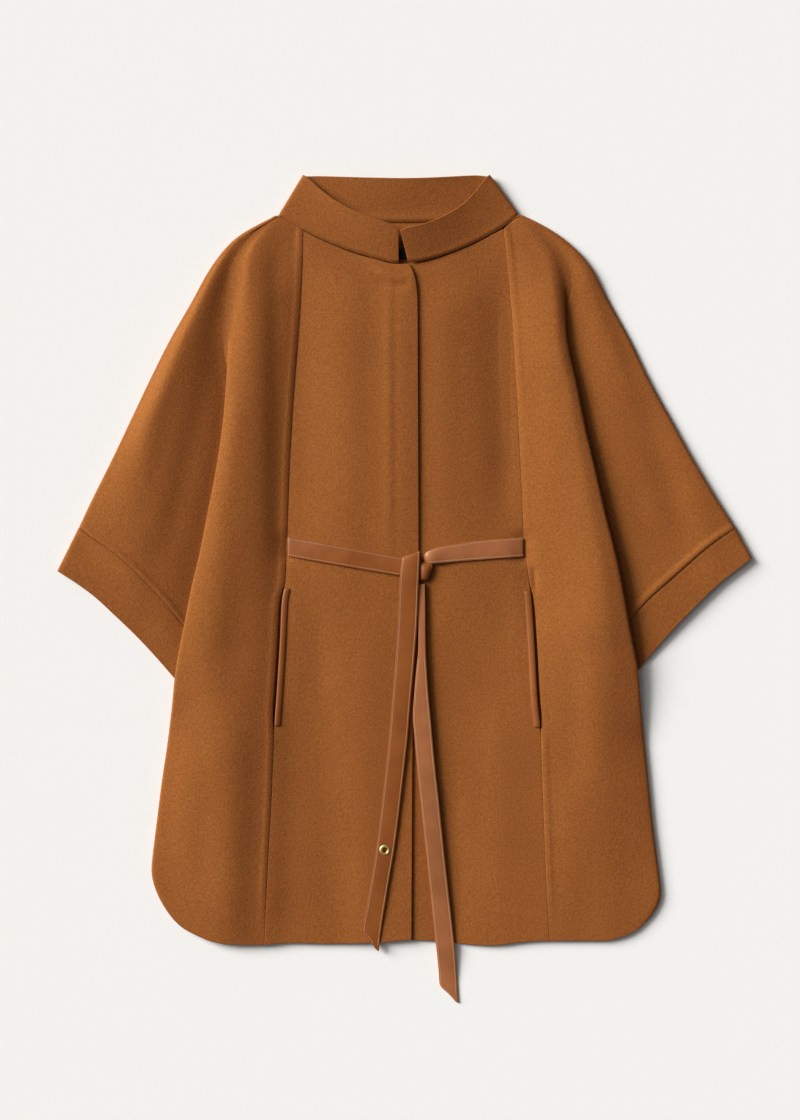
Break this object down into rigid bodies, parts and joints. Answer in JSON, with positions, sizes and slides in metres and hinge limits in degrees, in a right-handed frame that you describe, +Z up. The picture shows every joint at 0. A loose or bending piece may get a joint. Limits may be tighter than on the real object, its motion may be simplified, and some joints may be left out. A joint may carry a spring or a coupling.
{
  "type": "wool cape",
  "caption": "Wool cape with wide sleeves, stand collar, leather tie belt and leather-edged pocket mouths, lying flat on its back.",
  "frame": {"origin": "on the surface that the cape lies on, under the middle of its box", "axes": "+Y up the garment to the collar, +X to the picture's right, +Z up from the surface, out of the front"},
  "size_m": [0.7636, 0.9102, 0.0161],
  "materials": {
    "wool": "brushed double-face wool, camel brown",
    "leather": "smooth tan leather, low gloss",
    "brass": "polished",
    "black_metal": "black lacquer"
  },
  "bodies": {
    "root": {"back_panel": "wool", "centre_front_left": "wool", "centre_front_right": "wool", "side_front_left": "wool", "side_front_right": "wool", "cuff_left": "wool", "cuff_right": "wool", "collar": "wool", "pocket_facing_left": "leather", "pocket_facing_right": "leather", "belt_left": "leather", "belt_right": "leather", "belt_knot": "leather", "belt_end_left": "leather", "belt_end_right": "leather", "belt_eyelet": "brass", "collar_stud": "black_metal"}
  },
  "joints": []
}
